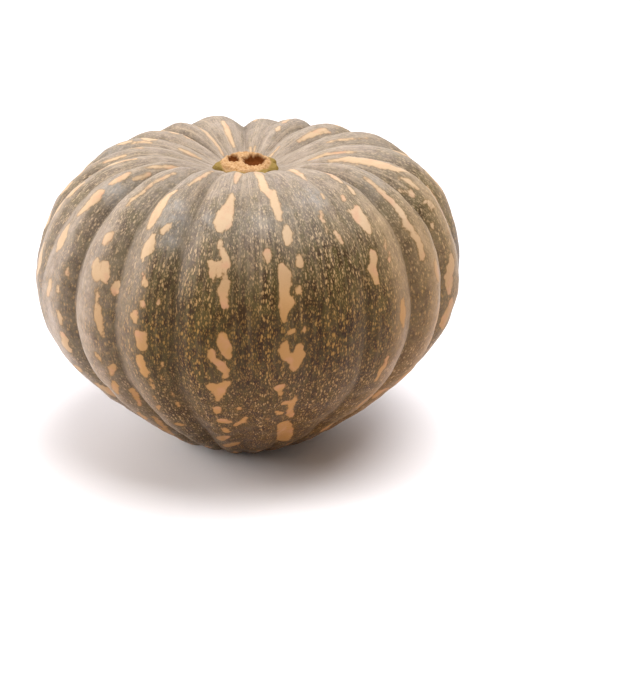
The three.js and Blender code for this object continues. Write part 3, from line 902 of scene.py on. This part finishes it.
# The veil of wax and painted sheen, thinned in clouds.
veil_left = add_node(
    tree, "MapRange",
    {"Value": wax_cloud, "From Min": 0.32, "From Max": 0.66, "To Min": 0.4, "To Max": 0.88})
wax_and_sheen_weight = add_node(tree, "Math", {"Value": veil_left, "Value_001": wax_and_sheen_here}, operation="MULTIPLY")
# Painted warm bounce light: the veil turns sandier on the right below the shoulders.
on_right = add_node(tree, "MapRange", {"Value": toward_right, "From Min": 40 * MM, "From Max": 90 * MM})
below_shoulder = add_node(tree, "MapRange", {"Value": from_stem, "From Min": 75 * MM, "From Max": 115 * MM})
warm_bounce_side = add_node(tree, "Math", {"Value": on_right, "Value_001": below_shoulder}, operation="MULTIPLY")
wax_and_sheen_colour = add_node(
    tree, "Mix", {"Factor_Float": warm_bounce_side, "A_Color": WAX_AND_SHEEN_TAUPE, "B_Color": WARM_BOUNCE_SAND}, data_type="RGBA")
# The bluish bloom: wax with painted sheen on the shoulders.
bloom_left = add_node(
    tree, "MapRange", {"Value": wax_cloud, "From Min": 0.35, "From Max": 0.6, "To Min": 0.2, "To Max": 0.8})
bloom_and_sheen_weight = add_node(tree, "Math", {"Value": bloom_left, "Value_001": bloom_and_sheen_here}, operation="MULTIPLY")
# Painted shade in the creases.
crease_shade_weight = add_node(tree, "Math", {"Value": crease_shade_here, "Value_001": 0.4}, operation="MULTIPLY")

# %% [markdown]
# The marks are peach, golden where the skin is ripe and warm shade is painted, and blush
# pink in places. Where a mark meets the ground, a thin brown line runs round it.

# %% Rind: peach marks with a brown line at their edge
PEACH_PALE = "#bca386"
PEACH_GOLD = "#ae8756"
PEACH_PINK = "#bd8f76"
EDGE_BROWN = "#7c5e36"
blush = add_node(tree, "TexNoise", {"Vector": skin, "Scale": 1 / (10 * MM), "Detail": 2.0}, out="Fac")
blush_share = add_node(tree, "MapRange", {"Value": blush, "From Min": 0.5, "From Max": 0.75, "To Max": 0.7})
golden = add_node(tree, "MapRange", {"Value": ripe_and_shade_here, "From Min": 0.05, "From Max": 0.4})
peach_or_gold = add_node(
    tree, "Mix", {"Factor_Float": golden, "A_Color": PEACH_PALE, "B_Color": PEACH_GOLD}, data_type="RGBA")
peach = add_node(
    tree, "Mix",
    {"Factor_Float": blush_share, "A_Color": peach_or_gold, "B_Color": PEACH_PINK}, data_type="RGBA")

# %% [markdown]
# The skin is these layers laid over each other, each with its share and its colour.

# %% Rind: layers
layers = (
    (specks_shown, fleck_colour), (flecks_shown, fleck_colour), (wax_and_sheen_weight, wax_and_sheen_colour),
    (bloom_and_sheen_weight, BLOOM_AND_SHEEN_GREY), (crease_shade_weight, CREASE_SHADE_BROWN), (marks, peach), (edge_line, EDGE_BROWN),
)
skin_colour = ground_streaked
for share_of_layer, on_top in layers:
    skin_colour = add_node(
        tree, "Mix", {"Factor_Float": share_of_layer, "A_Color": skin_colour, "B_Color": on_top},
        data_type="RGBA")

# %% [markdown]
# Where the skin is riper, and where warm shade is painted low on the front and the right,
# its colours are deeper, darker and warmer, so the pattern is multiplied by a tint there.
# The marks and the flecks take less of it than the ground.

# %% Rind: warmer where it is riper and where warm shade is painted
# The tint of riper skin and painted warm shade.
RIPE_AND_SHADE_TINT = "#eec484"
pale_here = add_node(tree, "Math", {"Value": marks, "Value_001": flecks_shown}, operation="MAXIMUM")
ripe_and_shade_share = add_node(tree, "MapRange", {"Value": pale_here, "To Min": 1.0, "To Max": 0.55})
ripe_and_shade_weight = add_node(tree, "Math", {"Value": ripe_and_shade_here, "Value_001": ripe_and_shade_share}, operation="MULTIPLY")
warmed_and_shaded = add_node(
    tree, "Mix",
    {"Factor_Float": ripe_and_shade_weight, "A_Color": skin_colour, "B_Color": RIPE_AND_SHADE_TINT},
    data_type="RGBA", blend_type="MULTIPLY")

# %% [markdown]
# At the blossom end a corky button is left where the flower fell off. It is the only
# place where the skin is neither waxy nor green.

# %% Rind: blossom scar
SCAR_START_MM = 359
SCAR_CORK = "#8f7452"
scar = add_node(
    tree, "MapRange",
    {"Value": from_stem, "From Min": SCAR_START_MM * MM, "From Max": (SCAR_START_MM + 1) * MM})
final_colour = add_node(
    tree, "Mix", {"Factor_Float": scar, "A_Color": warmed_and_shaded, "B_Color": SCAR_CORK}, data_type="RGBA")

# %% [markdown]
# The relief under the gloss: flecks stand up a little where they are corky, the streaks
# are shallow furrows, and a fine pebble covers everything. The wax is thin, so it is a
# weak coat over a fairly rough skin.

# %% Rind: relief and gloss
pebble = add_node(tree, "TexNoise", {"Vector": skin, "Scale": 1 / (1.3 * MM), "Detail": 3.0}, out="Fac")
relief_flecks = add_node(
    tree, "Math", {"Value": flecks_shown, "Value_001": 0.12, "Value_002": pebble}, operation="MULTIPLY_ADD")
relief = add_node(
    tree, "Math", {"Value": streak, "Value_001": 0.5, "Value_002": relief_flecks}, operation="MULTIPLY_ADD")
bumped = add_node(tree, "Bump", {"Height": relief, "Distance": 0.22 * MM}, out="Normal")
gloss = add_node(
    tree, "MapRange", {"Value": mottle, "From Min": 0.3, "From Max": 0.7, "To Min": 0.4, "To Max": 0.56})
gloss_with_bloom = add_node(
    tree, "Math", {"Value": bloom_and_sheen_weight, "Value_001": 0.2, "Value_002": gloss}, operation="MULTIPLY_ADD")
shader = add_node(tree, "BsdfPrincipled", {
    "Base Color": final_colour,
    "Roughness": gloss_with_bloom,
    "Normal": bumped,
    "IOR": 1.4,
    "Specular IOR Level": 0.2,
    "Coat Weight": 0.03,
    "Coat Roughness": 0.3,
    "Sheen Weight": 0.08,
    "Sheen Roughness": 0.3,
})
add_node(tree, "OutputMaterial", {"Surface": shader})
fruit.data.materials.append(rind)
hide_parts("fruit")
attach(fruit, "root")
print("rind nodes", len(tree.nodes))

# %% [markdown]
# ## Stump of the stem
# The stem broke off short and left a corky plate about 30 mm wide, with worn lobes at its
# foot. The break is hollow in two places, where the soft middle came away: a large
# one right of the middle and a small one at the left, with a thin wall between, and it
# falls toward the front. The stump is round in plan, so it is spun from its outline too,
# and the lobes, the hollows and the chipped rim are worked in afterwards.

# %% Stump: outline spun round
# Radius and height above the seat in mm, from the foot over the rim to the middle.
STUMP_OUTLINE = (
    (0, -0.4), (9, -0.4), (15.6, -0.4), (16.3, 0.4), (16.2, 1.8), (15.7, 3.4), (15.2, 4.8), (14.9, 5.8),
    (14.2, 6.5), (12.5, 6.5), (9, 6.3), (5, 6.3), (0, 6.3),
)
SEAT_HEIGHT = 174.0
STUMP_STEPS = 7
STUMP_COLUMNS = 150

stump = draw_outline("stem_break", STUMP_OUTLINE, STUMP_STEPS)
spin_outline(stump, STUMP_COLUMNS)
print("stump points", len(stump.data.vertices))

# %% Stump: lobes, hollows and broken rim
# Where the lobes are, in degrees from the right toward the back, how wide one is, and by
# what share of its radius the foot stands out there.
LOBES = (-10, 22, 95, 183, 250, 305)
LOBE_WIDTH = 17
LOBE_OUT = 0.24
# Between the lobes the side is drawn in by this share, and it is uneven by it too.
SIDE_WAIST = 0.05
# Middle and half widths of each hollow, and its depth, in mm. Right and back count up.
HOLLOWS = (
    {"middle": (4.9, 2.4), "half": (7.4, 8.4), "deep": 3.6},
    {"middle": (-7.7, 5.2), "half": (3.5, 5.4), "deep": 2.8},
)
# The break falls toward the front by this much in all.
BREAK_FALL = 3.0
# Where each of these runs from none to full, in mm: out from the axis, up from the seat or
# from the back to the front, and for a hollow in shares of its half widths.
LOBES_BY_RADIUS = (0, 12)
LOBES_BY_HEIGHT = (6.0, 4.4)
BREAK_BY_HEIGHT = (4.6, 5.8)
HOLLOW_BY_SHARE = (1.15, 0.6)
FALL_BY_PLACE = (12, -12)
FALL_BY_HEIGHT = (0, 5)
FOOT_BY_RADIUS = (14.2, 16.4)
# Uneven places: how strong they are, how wide in mm, and the seed of each.
SIDE_RUMPLE = ((SIDE_WAIST, 3.5, 7),)
RIM_RUMPLES = ((0.3, 3.0, 3), (0.15, 1.3, 5))
BREAK_RUMPLES = ((0.6, 4.5, 1), (0.4, 1.6, 2))


def rumpled(rumples, x, y, z=0):
    """Smooth noise round 0, summed over lumps of the given strengths and widths."""
    return sum(
        strength * noise.noise(Vector((x / width + seed, y / width, z / width)))
        for strength, width, seed in rumples
    )


def ramp(value, limits):
    """0 at the first limit and before it, 1 at the second and beyond, straight between."""
    return min(max((value - limits[0]) / (limits[1] - limits[0]), 0), 1)


def lobe_at(around):
    """1 at the middle of a lobe, fading to 0 on both sides of it."""
    away = min(abs((around - middle + 180) % 360 - 180) for middle in LOBES)
    return math.exp(-(away / LOBE_WIDTH) ** 2)


def sink_in(hollow, x, y):
    """How far the break sinks at a place, for one hollow with an uneven rim."""
    across_x = (x - hollow["middle"][0]) / hollow["half"][0]
    across_y = (y - hollow["middle"][1]) / hollow["half"][1]
    bowl = ramp(math.hypot(across_x, across_y) + rumpled(RIM_RUMPLES, x, y), HOLLOW_BY_SHARE)
    return hollow["deep"] * bowl * bowl * (3 - 2 * bowl)


def shape_stump_point(x, y, z):
    """Moves a point of the round stump, in mm. Also tells how deep it lies in a hollow and
    how much it belongs to the foot."""
    on_lobe = lobe_at(math.degrees(math.atan2(y, x)))
    lobe_out = LOBE_OUT * on_lobe * ramp(z, LOBES_BY_HEIGHT)
    side = lobe_out - SIDE_WAIST * (1 - on_lobe) + rumpled(SIDE_RUMPLE, x, y, z)
    swell = 1 + side * ramp(math.hypot(x, y), LOBES_BY_RADIUS) ** 2
    x, y = x * swell, y * swell
    top = ramp(z, BREAK_BY_HEIGHT)
    sunk = top * max(sink_in(hollow, x, y) for hollow in HOLLOWS)
    fall = BREAK_FALL * ramp(y, FALL_BY_PLACE) * ramp(z, FALL_BY_HEIGHT)
    foot = ramp(math.hypot(x, y), FOOT_BY_RADIUS)
    return x, y, z - fall + top * rumpled(BREAK_RUMPLES, x, y) - sunk, sunk, foot


stump_places = mesh_points(stump) / MM
shaped = np.array([shape_stump_point(*place) for place in stump_places])
hollow_depth = shaped[:, 3]
stump_points = shaped[:, :3] + (STEM_X / MM, STEM_Y / MM, SEAT_HEIGHT)
place_points(stump, stump_points * MM)
bpy.ops.object.select_all(action="DESELECT")
stump.select_set(True)
bpy.ops.object.shade_smooth()
keep_number(stump, "hollow", hollow_depth)
keep_number(stump, "foot", shaped[:, 4])
print("stump box in mm", stump_points.min(axis=0), stump_points.max(axis=0))

# %% [markdown]
# The stump is dry cork over woody fibre. The rim and the walls between the hollows are
# pale, the hollows are dark brown, most where they are deepest, and the lobes at the foot
# keep a little of the green of the stem. Cork has no gloss at all.

# %% Stump: finish
CORK_PALE = "#c8a680"
CORK_TAN = "#8f683e"
HOLLOW_DARK_BROWN = "#5a2e0d"
FOOT_OLIVE = "#7b6a34"
cork, tree = new_material("stem_broken_dry_cork")
place_here = add_node(tree, "TexCoord", out="Object")
hollow_here = add_node(tree, "Attribute", attribute_name="hollow", out="Fac")
foot_here = add_node(tree, "Attribute", attribute_name="foot", out="Fac")
fibre = add_node(
    tree, "TexNoise",
    {"Vector": place_here, "Scale": 1 / (1.8 * MM), "Detail": 5.0, "Roughness": 0.7}, out="Fac")
fibre_share = add_node(tree, "MapRange", {"Value": fibre, "From Min": 0.35, "From Max": 0.68})
cork_colour = add_node(
    tree, "Mix", {"Factor_Float": fibre_share, "A_Color": CORK_TAN, "B_Color": CORK_PALE}, data_type="RGBA")
foot_edge = add_node(
    tree, "Math", {"Value": fibre, "Value_001": 0.8, "Value_002": foot_here}, operation="MULTIPLY_ADD")
foot_share = add_node(
    tree, "MapRange", {"Value": foot_edge, "From Min": 0.6, "From Max": 1.2, "To Max": 0.85})
with_foot = add_node(
    tree, "Mix",
    {"Factor_Float": foot_share, "A_Color": cork_colour, "B_Color": FOOT_OLIVE}, data_type="RGBA")
hollow_dark_edge = add_node(
    tree, "Math", {"Value": fibre, "Value_001": 2.0, "Value_002": hollow_here}, operation="MULTIPLY_ADD")
hollow_dark_share = add_node(tree, "MapRange", {"Value": hollow_dark_edge, "From Min": 1.3, "From Max": 2.9})
stump_colour = add_node(
    tree, "Mix", {"Factor_Float": hollow_dark_share, "A_Color": with_foot, "B_Color": HOLLOW_DARK_BROWN}, data_type="RGBA")
stump_bump = add_node(tree, "Bump", {"Height": fibre, "Distance": 0.5 * MM}, out="Normal")
shader = add_node(tree, "BsdfPrincipled", {
    "Base Color": stump_colour,
    "Roughness": 0.9,
    "Normal": stump_bump,
    "IOR": 1.4,
    "Specular IOR Level": 0.1,
})
add_node(tree, "OutputMaterial", {"Surface": shader})
stump.data.materials.append(cork)
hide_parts("stem_stump")
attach(stump, "root")
